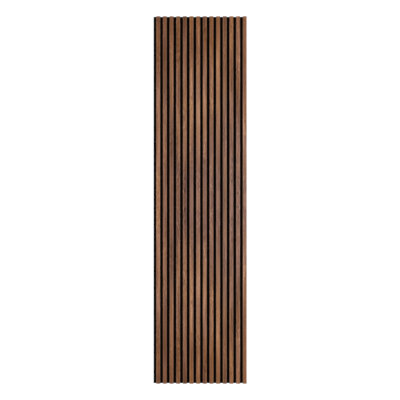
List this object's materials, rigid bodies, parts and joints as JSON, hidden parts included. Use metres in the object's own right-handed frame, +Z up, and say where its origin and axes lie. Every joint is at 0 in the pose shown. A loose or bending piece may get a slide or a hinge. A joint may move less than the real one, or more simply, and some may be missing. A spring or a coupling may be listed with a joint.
{
  "type": "wall panel",
  "caption": "Tall slatted acoustic wall panel: evenly spaced walnut-veneered slats stapled to a black felt backing.",
  "frame": {"origin": "middle of the felt's back face, which lies on the wall", "axes": "+Z up along the slats, +X to the right across the panel seen from the front, +Y into the wall, so the slats face -Y"},
  "size_m": [0.609, 0.021, 2.4],
  "materials": {
    "black_felt": "matt needled felt",
    "fibreboard": "sawn, bare",
    "walnut_veneer": "matt lacquer",
    "staple_wire": "galvanised"
  },
  "bodies": {
    "root": {"felt_backing": "black_felt", "slat_core_01": "fibreboard", "slat_core_02": "fibreboard", "slat_core_03": "fibreboard", "slat_core_04": "fibreboard", "slat_core_05": "fibreboard", "slat_core_06": "fibreboard", "slat_core_07": "fibreboard", "slat_core_08": "fibreboard", "slat_core_09": "fibreboard", "slat_core_10": "fibreboard", "slat_core_11": "fibreboard", "slat_core_12": "fibreboard", "slat_core_13": "fibreboard", "slat_core_14": "fibreboard", "slat_veneer_01": "walnut_veneer", "slat_veneer_02": "walnut_veneer", "slat_veneer_03": "walnut_veneer", "slat_veneer_04": "walnut_veneer", "slat_veneer_05": "walnut_veneer", "slat_veneer_06": "walnut_veneer", "slat_veneer_07": "walnut_veneer", "slat_veneer_08": "walnut_veneer", "slat_veneer_09": "walnut_veneer", "slat_veneer_10": "walnut_veneer", "slat_veneer_11": "walnut_veneer", "slat_veneer_12": "walnut_veneer", "slat_veneer_13": "walnut_veneer", "slat_veneer_14": "walnut_veneer", "staples": "staple_wire"}
  },
  "joints": []
}
